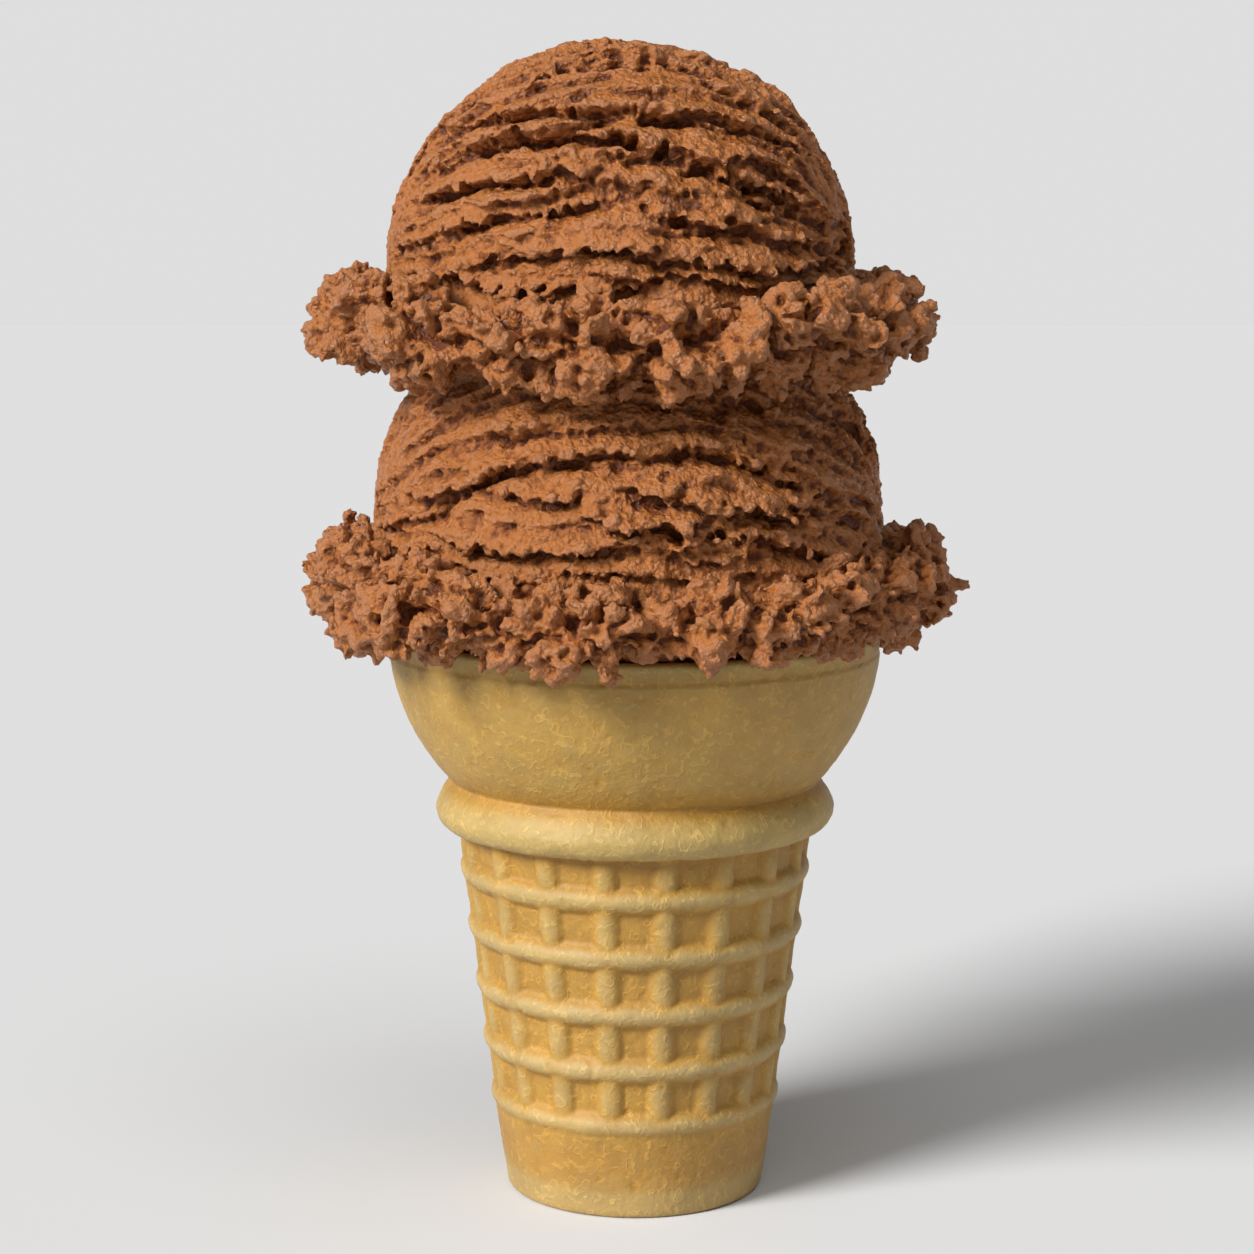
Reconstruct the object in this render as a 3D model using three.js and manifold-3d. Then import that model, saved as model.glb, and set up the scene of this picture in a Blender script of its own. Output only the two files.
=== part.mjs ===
// A flat-bottomed wafer cup holding two scoops of chocolate ice cream, one on the other.
// Millimetres, +Z up, the front towards -Y, the origin at the middle of the cup's flat foot.
//
// The wafer cup is one moulded shell: a tapering stem with a raised grid of ribs, a round bead,
// a bowl and a narrow rim band. The lower scoop fills the bowl, laps over its rim in a torn collar
// and is squashed flat on top, where the upper scoop sits. Each scoop is a dome scraped into
// overlapping layers, which run from side to side, above its own crumbly collar.

import * as THREE from "three";
import { mergeVertices } from "three/addons/utils/BufferGeometryUtils.js";
import Module from "manifold-3d";

// ---- Wafer cup ----
const CUP_HEIGHT = 72.6;
const WALL = 2.0;
const FOOT_RADIUS = 16.2;
const FOOT_EDGE = 0.5; // the small round at the foot
const BAND_TOP = 10.1; // the plain band below the grid ends here
const BAND_FLARE = 0.25; // how far the band stands out of the foot's edge
const BAND_TAPER = 0.15; // radius gained for each millimetre of height

const GRID_RINGS = 5;
const RING_FIRST_Z = 12.15;
const RING_PITCH = 7.39;
const RING_FIRST_RADIUS = 18.65; // crest of the lowest ring
const RING_TAPER = 0.127;
const RING_HALF_FOOT = 1.8;
const RING_HALF_CREST = 1.0;
const RIB_COUNT = 18;
const RIB_HALF_FOOT_DEG = 4.3;
const RIB_HALF_CREST_DEG = 2.4;
const RIB_BELOW_RING = 0.4; // a rib's crest stands this much lower than a ring's
const PANEL_BELOW_RING = 1.3;

const BEAD_BOTTOM_Z = 47.1;
const BEAD_Z = 49.8; // its widest level
const BEAD_RADIUS = 25.5;
const BEAD_BOTTOM_RADIUS = 22.6;
const BEAD_SHOULDER_Z = 51.6;
const BEAD_SHOULDER_RADIUS = 24.85;
const BEAD_STEPS = 4; // facets of its lower half

const BOWL_ARC_RADIUS = 28.9;
const BOWL_ARC_OFFSET = 2.55; // the arc's centre, out from the axis
const BOWL_ARC_Z = 73.3; // and its height
const BOWL_START_Z = 53.5;
const RIM_LINE_Z = 69.8; // below the narrow band round the rim
const RIM_BAND_INSET = 0.4;
const RIM_BAND_STEP = 0.3; // height over which the band steps in
const BOWL_STEPS = 6; // facets of the arc
const BOWL_SEGMENTS = 54; // facets round it

const STEM_FLOOR = 2.4; // thickness of the cup's floor
const STEM_INSIDE_TOP = 47.5; // the stem's inside ends here
const BOWL_INSIDE_BOTTOM = 52.0; // and the bowl's begins
const INSIDE_STEPS = 4;
const INSIDE_SEGMENTS = 36;
const GAP = 0.3; // left between pieces that touch

// ---- Scoops ----
const LOWER = {
  seed: 11,
  x: -0.95,
  dome: { z: 86.0, width: 32.0, height: 31.8 },
  top: 105.2, // squashed flat here by the scoop above
  collar: {
    ring: 35.4,
    depth: 5.8, // half of its section, outwards
    frontZ: 76.9,
    sideZ: 78.9,
    frontHalf: 5.2, // half of its section, upwards
    sideHalf: 7.6,
  },
};
const UPPER = {
  seed: 47,
  x: -1.85,
  dome: { z: 117.5, width: 29.1, height: 28.2 },
  bottom: 105.2 + GAP,
  collar: {
    ring: 33.0,
    depth: 5.8,
    frontZ: 109.6,
    sideZ: 111.4,
    frontHalf: 5.1,
    sideHalf: 6.2,
  },
};
const PLUG_BOTTOM = 55.0; // the lower scoop reaches down to here inside the bowl
const PLUG_LAP = 3; // and this far up into its dome
const CORE_INSET = 3; // of the plain body that joins a dome to its collar
const SEAT_GAP = 1.6; // between the upper collar's underside and the lower dome
const SEAT_TURNS_DEG = [23, 31.5, 37]; // up the lower dome, where that underside follows it

const LAYER_PITCH_DEG = 16; // from one torn layer to the next
const LAYER_DEPTH = 2.0;
const LAYER_UNEVEN = 0.25; // share by which its depth varies along it
const LAYER_WANDER = 0.45; // how far its lip strays, in layers
const MIRROR_TURN_DEG = 105; // the layers behind this turn mirror those in front
const DOME_COLUMNS = 14; // from side to side
const SEEN_TURNS_DEG = { from: -20, to: 200, step: 4 }; // up from the front and over to the back
const HIDDEN_TURN_STEP_DEG = 20;

const LUMP_SIZE = 7.5; // across a lump of the collar
const LUMP_DEPTH = 4.4;
const LUMP_MIDDLE = 0.7; // the share of a lump's height that is neither raised nor sunk
const LOBE_SIZE = 24; // across a slow wave of the collar's outline
const LOBE_DEPTH = 1.6;
const COLLAR_AROUND = 72;
const COLLAR_SECTION = 12;
const CORE_SEGMENTS = 36;
const BEYOND = 60; // reaches past every piece

const rad = THREE.MathUtils.degToRad;
const wasm = await Module();
wasm.setup();

// ---- Shapes and solids ----

// A closed surface from rings of points. The first and last ring may be a single point.
function skin(rings) {
  const columns = Math.max(...rings.map((ring) => ring.length));
  const starts = [];
  const positions = [];
  for (const ring of rings) {
    starts.push(positions.length / 3);
    for (const point of ring) positions.push(...point);
  }
  const index = [];
  for (let r = 0; r + 1 < rings.length; r++) {
    const below = (c) => starts[r] + (c % rings[r].length);
    const above = (c) => starts[r + 1] + (c % rings[r + 1].length);
    for (let c = 0; c < columns; c++) {
      if (rings[r].length > 1) index.push(below(c), below(c + 1), above(c + 1));
      if (rings[r + 1].length > 1) index.push(below(c), above(c + 1), above(c));
    }
  }
  const geometry = new THREE.BufferGeometry();
  geometry.setAttribute("position", new THREE.Float32BufferAttribute(positions, 3));
  geometry.setIndex(index);
  return geometry;
}

function toSolid(geometry) {
  const bare = geometry.clone();
  bare.deleteAttribute("normal");
  bare.deleteAttribute("uv");
  const merged = mergeVertices(bare, 1e-4);
  return new wasm.Manifold(
    new wasm.Mesh({
      numProp: 3,
      vertProperties: new Float32Array(merged.attributes.position.array),
      triVerts: new Uint32Array(merged.index.array),
    }),
  );
}

function toGeometry(solid) {
  const mesh = solid.getMesh();
  const geometry = new THREE.BufferGeometry();
  geometry.setAttribute("position", new THREE.BufferAttribute(mesh.vertProperties, 3));
  geometry.setIndex(new THREE.BufferAttribute(mesh.triVerts, 1));
  geometry.computeVertexNormals();
  return geometry;
}

// The outer skin of the largest body alone, so a sealed hollow is filled and a loose scrap dropped.
function filled(solid) {
  return solid.decompose().reduce((a, b) => (b.volume() > a.volume() ? b : a));
}

// A solid of revolution about Z from [radius, z] points listed upwards along its outside.
function turned(profile, segments, x = 0) {
  const points = profile.map(([radius, z]) => new THREE.Vector2(radius, z));
  const geometry = new THREE.LatheGeometry(points, segments);
  geometry.rotateX(Math.PI / 2);
  geometry.translate(x, 0, 0);
  return toSolid(geometry);
}

// ---- Noise: the same value for the same point on every run ----

function hash(i, j, k) {
  let h = Math.imul(i, 374761393) ^ Math.imul(j, 668265263) ^ Math.imul(k, 362437);
  h = Math.imul(h ^ (h >>> 13), 1274126177);
  return ((h ^ (h >>> 16)) >>> 0) / 4294967295;
}

// Smooth noise from -1 to 1, with features about one unit across.
function noise(x, y, z) {
  const cell = [x, y, z].map(Math.floor);
  const [u, v, w] = [x, y, z].map((value, n) => {
    const t = value - cell[n];
    return t * t * (3 - 2 * t);
  });
  let sum = 0;
  for (let corner = 0; corner < 8; corner++) {
    const [a, b, c] = [corner & 1, (corner >> 1) & 1, corner >> 2];
    const weight = (a ? u : 1 - u) * (b ? v : 1 - v) * (c ? w : 1 - w);
    sum += weight * hash(cell[0] + a, cell[1] + b, cell[2] + c);
  }
  return 2 * sum - 1;
}

// Rounded lumps about one unit across: 1 on top of a lump, near 0 in the creases between them.
function lumps(x, y, z, seed) {
  const cell = [x, y, z].map(Math.floor);
  let nearest = 1;
  for (let n = 0; n < 27; n++) {
    const [i, j, k] = [(n % 3) - 1, (Math.floor(n / 3) % 3) - 1, Math.floor(n / 9) - 1];
    const [a, b, c] = [cell[0] + i, cell[1] + j, cell[2] + k];
    const centre = [a + hash(a, b, c + seed), b + hash(b, c, a + seed), c + hash(c, a, b + seed)];
    nearest = Math.min(nearest, (x - centre[0]) ** 2 + (y - centre[1]) ** 2 + (z - centre[2]) ** 2);
  }
  return 1 - nearest;
}

// ---- Wafer cup ----

const ringCrest = (z) => RING_FIRST_RADIUS + RING_TAPER * (z - RING_FIRST_Z);
const bandRadius = (z) => FOOT_RADIUS + BAND_FLARE + BAND_TAPER * z;
const stemInside = (z) => ringCrest(z) - PANEL_BELOW_RING - WALL;

// One ring of the stem's outside: across panels and ribs, or plain all the way round.
function stemRing(z, ribbed, plainRadius) {
  const ring = [];
  for (let rib = 0; rib < RIB_COUNT; rib++) {
    const centre = ((rib + 0.5) * 360) / RIB_COUNT;
    const corners = [
      [-RIB_HALF_FOOT_DEG, PANEL_BELOW_RING],
      [-RIB_HALF_CREST_DEG, RIB_BELOW_RING],
      [RIB_HALF_CREST_DEG, RIB_BELOW_RING],
      [RIB_HALF_FOOT_DEG, PANEL_BELOW_RING],
    ];
    for (const [turn, below] of corners) {
      const angle = rad(centre + turn - 90);
      const radius = ribbed ? ringCrest(z) - below : plainRadius;
      ring.push([radius * Math.cos(angle), radius * Math.sin(angle), z]);
    }
  }
  return ring;
}

function stem() {
  const rings = [
    [[0, 0, 0]],
    stemRing(0, false, FOOT_RADIUS),
    stemRing(FOOT_EDGE, false, bandRadius(FOOT_EDGE)),
    stemRing(BAND_TOP, false, bandRadius(BAND_TOP)),
  ];
  for (let n = 0; n < GRID_RINGS; n++) {
    const z = RING_FIRST_Z + n * RING_PITCH;
    if (n > 0) rings.push(stemRing(z - RING_HALF_FOOT, true));
    rings.push(stemRing(z - RING_HALF_CREST, false, ringCrest(z - RING_HALF_CREST)));
    rings.push(stemRing(z + RING_HALF_CREST, false, ringCrest(z + RING_HALF_CREST)));
    rings.push(stemRing(z + RING_HALF_FOOT, true));
  }
  rings.push(stemRing(BEAD_Z, true), [[0, 0, BEAD_Z]]);
  return toSolid(skin(rings));
}

// Points of the bowl's arc, from low to high, at a distance from the outer face.
function bowlArc(fromZ, toZ, steps, inset) {
  const arcRadius = BOWL_ARC_RADIUS - inset;
  const start = Math.asin((fromZ - BOWL_ARC_Z) / arcRadius);
  const end = Math.asin((toZ - BOWL_ARC_Z) / arcRadius);
  return Array.from({ length: steps + 1 }, (_, n) => {
    const angle = THREE.MathUtils.lerp(start, end, n / steps);
    const radius = BOWL_ARC_OFFSET + arcRadius * Math.cos(angle);
    return [radius, BOWL_ARC_Z + arcRadius * Math.sin(angle)];
  });
}

// The bead's lower half is a quarter of an ellipse, from its bottom out to its widest level.
function beadArc(steps) {
  return Array.from({ length: steps + 1 }, (_, n) => {
    const angle = (n / steps) * (Math.PI / 2);
    const radius = BEAD_BOTTOM_RADIUS + (BEAD_RADIUS - BEAD_BOTTOM_RADIUS) * Math.sin(angle);
    return [radius, BEAD_Z - (BEAD_Z - BEAD_BOTTOM_Z) * Math.cos(angle)];
  });
}

const rimRadius = bowlArc(RIM_LINE_Z, RIM_LINE_Z, 1, 0)[0][0];

function beadAndBowl() {
  return turned(
    [
      [0, BEAD_BOTTOM_Z],
      ...beadArc(BEAD_STEPS),
      [BEAD_SHOULDER_RADIUS, BEAD_SHOULDER_Z],
      ...bowlArc(BOWL_START_Z, RIM_LINE_Z, BOWL_STEPS, 0),
      [rimRadius - RIM_BAND_INSET, RIM_LINE_Z + RIM_BAND_STEP],
      [rimRadius - RIM_BAND_INSET, CUP_HEIGHT],
      [0, CUP_HEIGHT],
    ],
    BOWL_SEGMENTS,
  );
}

// The bowl's inside above a level, drawn in from its wall by a clearance.
function bowlInside(clearance, bottomZ, topZ) {
  const arc = bowlArc(bottomZ, RIM_LINE_Z, INSIDE_STEPS, WALL + clearance);
  return [...arc, [arc[INSIDE_STEPS][0], topZ], [0, topZ]];
}

function waferCup() {
  const inside = turned(
    [
      [0, STEM_FLOOR],
      [stemInside(STEM_FLOOR), STEM_FLOOR],
      [stemInside(STEM_INSIDE_TOP), STEM_INSIDE_TOP],
      ...bowlInside(0, BOWL_INSIDE_BOTTOM, CUP_HEIGHT + WALL),
    ],
    INSIDE_SEGMENTS,
  );
  return stem().add(beadAndBowl()).subtract(inside);
}

// ---- Scoops ----

// How far the dome stands out at an angle round the side-to-side axis: layers that lap downwards
// like shingles, each with its lip at its lower edge.
function layerRelief(turnDeg, across, seed) {
  const mirrored = turnDeg > MIRROR_TURN_DEG ? 2 * MIRROR_TURN_DEG - turnDeg : turnDeg;
  const wander = LAYER_WANDER * noise(across * 1.6 + seed, turnDeg / 40, seed);
  const steps = mirrored / LAYER_PITCH_DEG + wander;
  const layer = Math.floor(steps);
  const uneven = 2 * LAYER_UNEVEN * noise(across * 2.2, layer * 3.7, seed + 5);
  return LAYER_DEPTH * (0.75 + uneven) * (0.5 - (steps - layer));
}

// The dome is gridded round the side-to-side axis, so that its rows follow the layers.
function dome({ seed, x, dome: { z, width, height } }) {
  const { from, to, step } = SEEN_TURNS_DEG;
  const turns = [];
  for (let turn = from; turn < to; turn += step) turns.push(turn);
  for (let turn = to; turn < 360 + from; turn += HIDDEN_TURN_STEP_DEG) turns.push(turn);
  const rings = [[[x + width, 0, z]]];
  for (let n = 1; n < DOME_COLUMNS; n++) {
    const across = Math.cos((n / DOME_COLUMNS) * Math.PI);
    const waist = Math.sqrt(1 - across * across);
    rings.push(
      turns.map((turnDeg) => {
        const turn = rad(turnDeg);
        const relief = turnDeg < to ? waist ** 2 * layerRelief(turnDeg, across, seed) : 0;
        const out = waist + relief / width;
        return [x + across * width, -out * width * Math.cos(turn), z + out * height * Math.sin(turn)];
      }),
    );
  }
  rings.push([[x - width, 0, z]]);
  return toSolid(skin(rings));
}

// A point of the torn collar, an uneven ring of lumps that is thicker and higher at the two sides,
// at an angle round the scoop and a turn round the collar's section.
function collarPoint({ seed, x, collar: size }, angle, turn) {
  const side = Math.cos(angle) ** 2;
  const lobe = LOBE_DEPTH * noise(
    (size.ring * Math.cos(angle)) / LOBE_SIZE,
    (size.ring * Math.sin(angle)) / LOBE_SIZE,
    seed,
  );
  const radius = size.ring + lobe + size.depth * Math.cos(turn);
  const middle = THREE.MathUtils.lerp(size.frontZ, size.sideZ, side);
  const half = THREE.MathUtils.lerp(size.frontHalf, size.sideHalf, side);
  const z = middle + half * Math.sin(turn);
  const place = [radius * Math.cos(angle), radius * Math.sin(angle), z].map((value) => value / LUMP_SIZE);
  const bump = LUMP_DEPTH * (lumps(...place, seed) - LUMP_MIDDLE);
  const out = radius + bump * Math.cos(turn);
  return [x + out * Math.cos(angle), out * Math.sin(angle), z + bump * Math.sin(turn)];
}

function collar(scoop) {
  const circle = (count) => Array.from({ length: count }, (_, n) => (n / count) * 2 * Math.PI);
  const rings = circle(COLLAR_SECTION).map((turn) =>
    circle(COLLAR_AROUND).map((angle) => collarPoint(scoop, angle, turn)),
  );
  return toSolid(skin([...rings, rings[0]]));
}

// The plain body that joins a scoop's dome to its collar, from a level up to the dome's middle.
function core({ x, dome: { z, width }, collar: { ring } }, bottomZ) {
  return turned([[0, bottomZ], [ring, bottomZ], [width - CORE_INSET, z], [0, z]], CORE_SEGMENTS, x);
}

// The lower scoop: its plug fills the bowl, and its collar laps over the rim.
function lowerScoop() {
  const { x, top } = LOWER;
  const cupAndGap = turned(
    [
      [0, BOWL_START_Z],
      ...bowlArc(BOWL_START_Z, RIM_LINE_Z, BOWL_STEPS, -GAP),
      [rimRadius + GAP, CUP_HEIGHT + GAP],
      [0, CUP_HEIGHT + GAP],
    ],
    BOWL_SEGMENTS,
  );
  const plug = turned(
    [[0, PLUG_BOTTOM], ...bowlInside(GAP, PLUG_BOTTOM, CUP_HEIGHT + PLUG_LAP)],
    INSIDE_SEGMENTS,
  );
  const above = turned([[0, top], [BEYOND, top], [BEYOND, top + BEYOND], [0, top + BEYOND]], 4, x);
  const torn = dome(LOWER).add(collar(LOWER)).add(core(LOWER, CUP_HEIGHT));
  return filled(torn.subtract(cupAndGap).add(plug).subtract(above));
}

// The upper scoop sits on the flattened top of the lower one, with its collar just over the edge.
function upperScoop() {
  const { z, width, height } = LOWER.dome;
  const seat = turned(
    [
      [0, z],
      [width, z],
      ...SEAT_TURNS_DEG.map(rad).map((turn) => [
        width * Math.cos(turn) + SEAT_GAP,
        Math.min(z + height * Math.sin(turn), UPPER.bottom),
      ]),
      [width * Math.cos(rad(SEAT_TURNS_DEG.at(-1))) + SEAT_GAP, UPPER.bottom],
      [0, UPPER.bottom],
    ],
    CORE_SEGMENTS,
    LOWER.x,
  );
  return filled(dome(UPPER).add(collar(UPPER)).add(core(UPPER, UPPER.bottom)).subtract(seat));
}

// ---- The object ----

const wafer = new THREE.MeshStandardMaterial({ color: 0xd2a860, roughness: 0.62, metalness: 0 });
const chocolate = new THREE.MeshStandardMaterial({ color: 0x8f5836, roughness: 0.5, metalness: 0 });

function piece(name, solid, material) {
  const mesh = new THREE.Mesh(toGeometry(solid), material);
  mesh.name = name;
  return mesh;
}

const cone = new THREE.Group();
cone.add(piece("wafer_cup", waferCup(), wafer));
cone.add(piece("lower_scoop", lowerScoop(), chocolate));
cone.add(piece("upper_scoop", upperScoop(), chocolate));

export default cone;
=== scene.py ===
"""Two scoops of chocolate ice cream in a flat-bottomed wafer cup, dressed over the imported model.

The cup stands on its foot at the origin with its front towards -Y. Shapes are worked out in
millimetres and scaled to metres when they become meshes.
"""

import math

import bmesh
import bpy
import numpy as np
from mathutils import Matrix


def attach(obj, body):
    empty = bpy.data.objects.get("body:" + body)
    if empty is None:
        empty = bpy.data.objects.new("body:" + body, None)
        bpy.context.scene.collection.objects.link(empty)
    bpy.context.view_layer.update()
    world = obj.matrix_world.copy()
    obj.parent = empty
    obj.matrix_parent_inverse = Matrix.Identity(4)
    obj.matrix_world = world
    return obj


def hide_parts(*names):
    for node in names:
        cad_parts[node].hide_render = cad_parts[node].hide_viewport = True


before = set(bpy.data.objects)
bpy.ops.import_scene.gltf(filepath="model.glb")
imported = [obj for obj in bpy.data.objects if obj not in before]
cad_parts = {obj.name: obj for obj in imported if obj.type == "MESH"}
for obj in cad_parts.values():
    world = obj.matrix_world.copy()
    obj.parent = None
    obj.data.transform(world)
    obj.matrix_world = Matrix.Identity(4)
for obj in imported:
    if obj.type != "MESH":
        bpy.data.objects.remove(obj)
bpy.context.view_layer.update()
scene = bpy.context.scene


# ---- Table, light and camera ----
# The cone stands on a plain pale table in a white room. A large soft lamp lights it from the left,
# with a weaker one high in front, and the camera looks slightly down from the top scoop's height.

# The camera's places are in metres, its pitch in degrees below level and its lens in millimetres.
CAMERA_DISTANCE = 0.3692
CAMERA_HEIGHT = 0.1245
CAMERA_ASIDE = -0.0010
CAMERA_PITCH = 8.0
CAMERA_LENS = 84.0
TABLE_SIDE = 3.0  # from its middle to each edge
TABLE_COLOUR = (0.60, 0.60, 0.60, 1)
WALL_GLOW = 0.73
WALL_TOP = 0.078  # the sine of the angle above level at which the walls' glow begins to fade
WALL_FADE_END = WALL_TOP * 2.5
CEILING_GLOW = 0.17

# Each lamp is a far soft one: name, azimuth from the front, elevation, width in degrees, strength.
LAMPS = (
    ("key_lamp", -52, 33, 22, 4.85),
    ("top_lamp", 20, 64, 40, 0.75),
)


def add_camera():
    """A long lens in front of the cone, tipped down a little."""
    camera = bpy.data.objects.new("camera", bpy.data.cameras.new("camera"))
    camera.data.lens = CAMERA_LENS
    camera.data.clip_start = 0.01
    camera.location = (CAMERA_ASIDE, -CAMERA_DISTANCE, CAMERA_HEIGHT)
    camera.rotation_euler = (math.radians(90 - CAMERA_PITCH), 0, 0)
    scene.collection.objects.link(camera)
    scene.camera = camera


def add_lamps():
    """Far lamps that look as wide as large soft boxes, so that the shadows' edges are soft."""
    for name, azimuth, elevation, width, strength in LAMPS:
        lamp = bpy.data.objects.new(name, bpy.data.lights.new(name, "SUN"))
        lamp.data.angle = math.radians(width)
        lamp.data.energy = strength
        lamp.rotation_euler = (math.radians(90 - elevation), 0, math.radians(azimuth))
        scene.collection.objects.link(lamp)


def add_table():
    """One wide matt sheet at the height of the cone's foot."""
    corners = [(TABLE_SIDE * x, TABLE_SIDE * y, 0) for x, y in ((-1, -1), (1, -1), (1, 1), (-1, 1))]
    mesh = bpy.data.meshes.new("table")
    mesh.from_pydata(corners, [], [(0, 1, 2, 3)])
    table = bpy.data.objects.new("table", mesh)
    scene.collection.objects.link(table)
    paint = bpy.data.materials.new("table_paint")
    paint.use_nodes = True
    shader = paint.node_tree.nodes["Principled BSDF"]
    shader.inputs["Base Color"].default_value = TABLE_COLOUR
    shader.inputs["Roughness"].default_value = 1.0
    shader.inputs["Specular IOR Level"].default_value = 0.0
    mesh.materials.append(paint)


def add_room():
    """White walls that glow up to a little over the horizon, under a dim ceiling."""
    room = bpy.data.worlds.new("room")
    room.use_nodes = True
    nodes, links = room.node_tree.nodes, room.node_tree.links
    place = nodes.new("ShaderNodeTexCoord")
    height = nodes.new("ShaderNodeSeparateXYZ")
    fade = nodes.new("ShaderNodeMapRange")
    fade.interpolation_type = "SMOOTHSTEP"
    fade.inputs["From Min"].default_value = WALL_TOP
    fade.inputs["From Max"].default_value = WALL_FADE_END
    fade.inputs["To Min"].default_value = WALL_GLOW
    fade.inputs["To Max"].default_value = CEILING_GLOW
    links.new(place.outputs["Generated"], height.inputs[0])
    links.new(height.outputs["Z"], fade.inputs["Value"])
    links.new(fade.outputs["Result"], nodes["Background"].inputs["Strength"])
    nodes["Background"].inputs["Color"].default_value = (1, 1, 1, 1)
    scene.world = room
    scene.view_settings.view_transform = "Standard"


add_camera()
add_lamps()
add_table()
add_room()


# ---- Wafer cup ----
# One thin shell of baked wafer, moulded with a grid of ribs round its stem, a round bead where the
# stem meets the bowl, and a narrow band round the rim. Every edge comes out of the mould rounded.

MM = 0.001  # a millimetre in metres
CUP_HEIGHT = 72.6
WALL = 2.0
FOOT_RADIUS = 16.2
FOOT_EDGE = 0.5  # height of the foot's rounded edge
BAND_TOP = 10.1
BAND_TAPER = 0.15
GRID_RINGS = 5
RING_FIRST_Z = 12.15
RING_PITCH = 7.39
RING_FIRST_RADIUS = 18.65
RING_TAPER = 0.127
RING_HALF = 1.8  # half of a ring's width at its foot
RING_CREST = 0.2  # a ring keeps its full height for this much above its middle
RIB_COUNT = 18
RIB_HALF = 1.8
RIB_BELOW_RING = 0.4
PANEL_BELOW_RING = 1.3
BEAD_BOTTOM_Z = 47.1
BEAD_Z = 49.8
BEAD_RADIUS = 25.5
BEAD_BOTTOM_RADIUS = 22.6
BEAD_TOP_Z = 54.3
BEAD_TOP_RADIUS = 22.9
BOWL_ARC_RADIUS = 28.9
BOWL_ARC_OFFSET = 2.55  # of the arc's middle from the cup's axis
BOWL_ARC_Z = 73.3
RIM_LINE_Z = 69.8
RIM_BAND_INSET = 0.2
RIM_ROUND = 0.6  # height of the rim's rounded edge
STEM_FLOOR = 2.4
LEDGE_Z = 51.5
CUP_COLUMNS = RIB_COUNT * 22
RELIEF_REACHES = (8, 40)  # rounds of smoothing that fine and broad relief are measured against
RELIEF_SHARE = 0.6  # of each in the sum
# Painted shade in the creases, the wafer's plain colour, and a painted highlight on the crests.
WAFER_CREASE_SHADE = (0.36, 0.180, 0.014, 1)
WAFER_FACE = (0.38, 0.203, 0.022, 1)
WAFER_CREST_HIGHLIGHT = (0.415, 0.283, 0.095, 1)
BOWL_TINT = (0.98, 0.96, 0.72, 1)  # the bowl is a little yellower than the stem
FOOT_TINT = (0.95, 0.89, 0.74, 1)  # and the plain band at the foot a little browner
BOWL_TINT_FROM = 30.0  # the heights between which the stem's colour turns to the bowl's
BOWL_TINT_TO = 56.0
BEAD_HIGHLIGHT = 0.32  # how far the bead's colour is moved towards the crests', a painted highlight all along the bead
BEAD_HIGHLIGHT_HALF = 1.5  # half the width of the stretch with the strongest painted highlight, and of all that has some
BEAD_HIGHLIGHT_REACH = 3.2


def bar_height(away, half):
    """Height of a rounded bar, 1 at its crest and 0 at its foot."""
    return np.clip(1 - (away / half) ** 2, 0, 1) ** 0.75


def ring_height(above, half):
    """Height of a ring: a sloping face on top, and rounder and steeper below."""
    slope = np.clip((half - above) / (half - RING_CREST), 0, 1)
    return np.where(above > 0, slope * (2.2 - slope) / 1.2, bar_height(above, half * 0.92))


def smooth_step(edge, width, value):
    """0 well below the edge, 1 well above it, with a rounded change over about twice the width."""
    t = np.clip((value - edge) / (2 * width) + 0.5, 0, 1)
    return t * t * (3 - 2 * t)


def chance(i, j, k):
    """A number from 0 to 1 for each whole-number place, the same on every run."""
    h = (i * 374761393) ^ (j * 668265263) ^ (k * 362437)
    h &= 0xFFFFFFFF
    h = ((h ^ (h >> 13)) * 1274126177) & 0xFFFFFFFF
    return (h ^ (h >> 16)) / 4294967296


def noise(points):
    """Smooth noise from -1 to 1 with features one unit across, at an array of points."""
    cell = np.floor(points)
    t = points - cell
    t = t * t * (3 - 2 * t)
    i, j, k = np.moveaxis(cell.astype(np.int64), -1, 0)
    u, v, w = np.moveaxis(t, -1, 0)
    total = 0
    for a in (0, 1):
        for b in (0, 1):
            for c in (0, 1):
                weight = (u if a else 1 - u) * (v if b else 1 - v) * (w if c else 1 - w)
                total = total + weight * chance(i + a, j + b, k + c)
    return 2 * total - 1


def read_points(mesh):
    """The mesh's points, one row each."""
    values = np.empty(len(mesh.vertices) * 3, np.float32)
    mesh.vertices.foreach_get("co", values)
    return values.reshape(-1, 3).astype(float)


def read_normals(mesh):
    """The way out of the mesh at each point."""
    values = np.empty(len(mesh.vertices) * 3, np.float32)
    mesh.vertex_normals.foreach_get("vector", values)
    return values.reshape(-1, 3).astype(float)


def read_edges(mesh):
    """The points at the start and at the end of each edge."""
    values = np.empty(len(mesh.edges) * 2, np.int32)
    mesh.edges.foreach_get("vertices", values)
    return values.reshape(-1, 2).T


def write_points(mesh, points):
    """Moves the mesh's points to new places."""
    mesh.vertices.foreach_set("co", points.astype(np.float32).ravel())
    mesh.update()


def mark_relief(mesh):
    """Stores how far each point stands out of the surface round it, which the materials turn into
    painted shade in creases and painted highlights on crests.
    """
    points, normals = read_points(mesh), read_normals(mesh)
    start, end = read_edges(mesh)
    count = len(points)
    near = np.bincount(start, minlength=count) + np.bincount(end, minlength=count)
    smooth = points.copy()
    rise = np.zeros(count)
    for step in range(1, RELIEF_REACHES[-1] + 1):
        total = np.zeros((count, 3))
        for axis in range(3):
            total[:, axis] += np.bincount(start, smooth[end, axis], count)
            total[:, axis] += np.bincount(end, smooth[start, axis], count)
        smooth = total / near[:, None]
        if step in RELIEF_REACHES:
            rise += RELIEF_SHARE * ((points - smooth) * normals).sum(1)
    relief = mesh.attributes.new("relief", "FLOAT", "POINT")
    relief.data.foreach_set("value", rise.astype(np.float32))


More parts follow.
